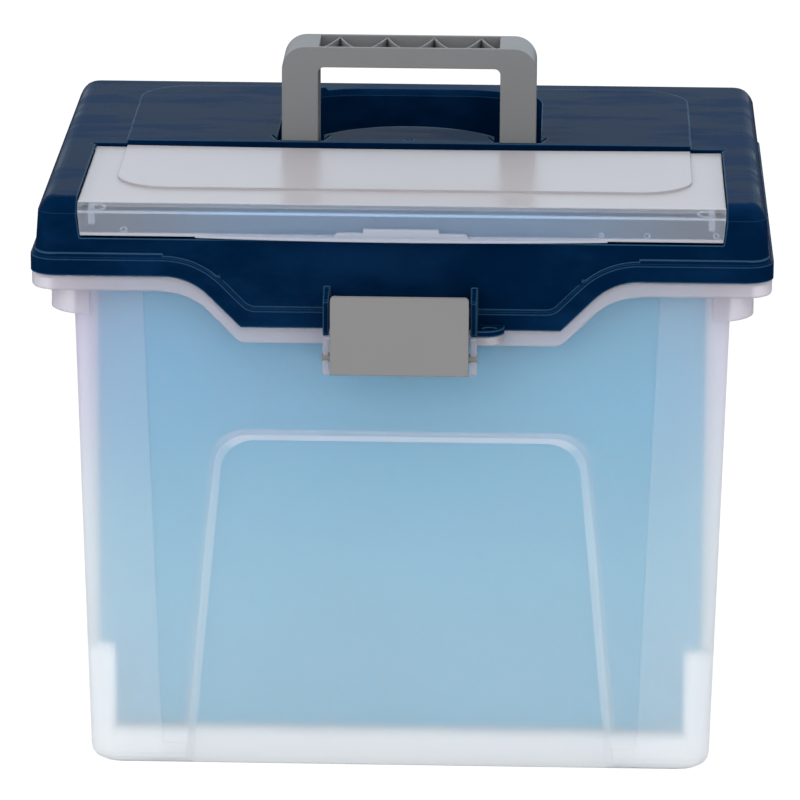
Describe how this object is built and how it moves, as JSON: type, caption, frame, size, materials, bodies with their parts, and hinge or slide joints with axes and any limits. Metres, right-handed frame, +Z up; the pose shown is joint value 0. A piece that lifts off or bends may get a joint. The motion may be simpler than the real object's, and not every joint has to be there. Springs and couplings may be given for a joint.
{
  "type": "portable file box",
  "caption": "Translucent tub with a hinged lid, covered tray in the lid, folding carry handle, snap latch, padlock tabs and a hanging folder on side rails.",
  "frame": {"origin": "on the ground, under the middle of the tub's flat bottom", "axes": "+X to the box's right seen from the latch side, +Y to the hinge at the back, +Z up"},
  "size_m": [0.362, 0.3045, 0.3428],
  "materials": {
    "base_tub": "frosted translucent polypropylene",
    "lid_shell": "semi-gloss opaque plastic",
    "tub_rim": "frosted translucent polypropylene",
    "lid_rim": "semi-gloss opaque plastic",
    "tub_lock_tab": "frosted translucent polypropylene",
    "lid_lock_tab": "semi-gloss opaque plastic",
    "organizer_cover": "frosted translucent plastic",
    "carry_handle": "satin",
    "front_latch": "satin",
    "hinge_pins": "drawn steel",
    "file_folder": "coloured card",
    "folder_rods": "zinc plated",
    "rod_hooks": "white coating"
  },
  "bodies": {
    "base": {"base_tub": "base_tub", "tub_rim": "tub_rim", "tub_lock_tab": "tub_lock_tab", "hinge_pins": "hinge_pins"},
    "lid": {"lid_shell": "lid_shell", "lid_rim": "lid_rim", "lid_lock_tab": "lid_lock_tab"},
    "cover": {"organizer_cover": "organizer_cover"},
    "handle": {"carry_handle": "carry_handle"},
    "latch": {"front_latch": "front_latch"},
    "folder": {"file_folder": "file_folder", "folder_rods": "folder_rods", "rod_hooks": "rod_hooks"}
  },
  "joints": [
    {"name": "lid_hinge", "type": "hinge", "parent": "base", "child": "lid", "pos_m": [0, 0.1425, 0.2578], "axis": [-1, 0, 0], "range_deg": [0, 100]},
    {"name": "latch_hinge", "type": "hinge", "parent": "base", "child": "latch", "pos_m": [0, -0.15, 0.2198], "axis": [1, 0, 0], "range_deg": [0, 140]},
    {"name": "handle_fold", "type": "hinge", "parent": "lid", "child": "handle", "pos_m": [0, 0.004, 0.2768], "axis": [-1, 0, 0], "range_deg": [0, 90]},
    {"name": "cover_hinge", "type": "hinge", "parent": "lid", "child": "cover", "pos_m": [0, -0.0185, 0.2896], "axis": [-1, 0, 0], "range_deg": [0, 90]},
    {"name": "folder_slide", "type": "slide", "parent": "base", "child": "folder", "axis": [0, 1, 0], "range_m": [0, 0.21]}
  ]
}
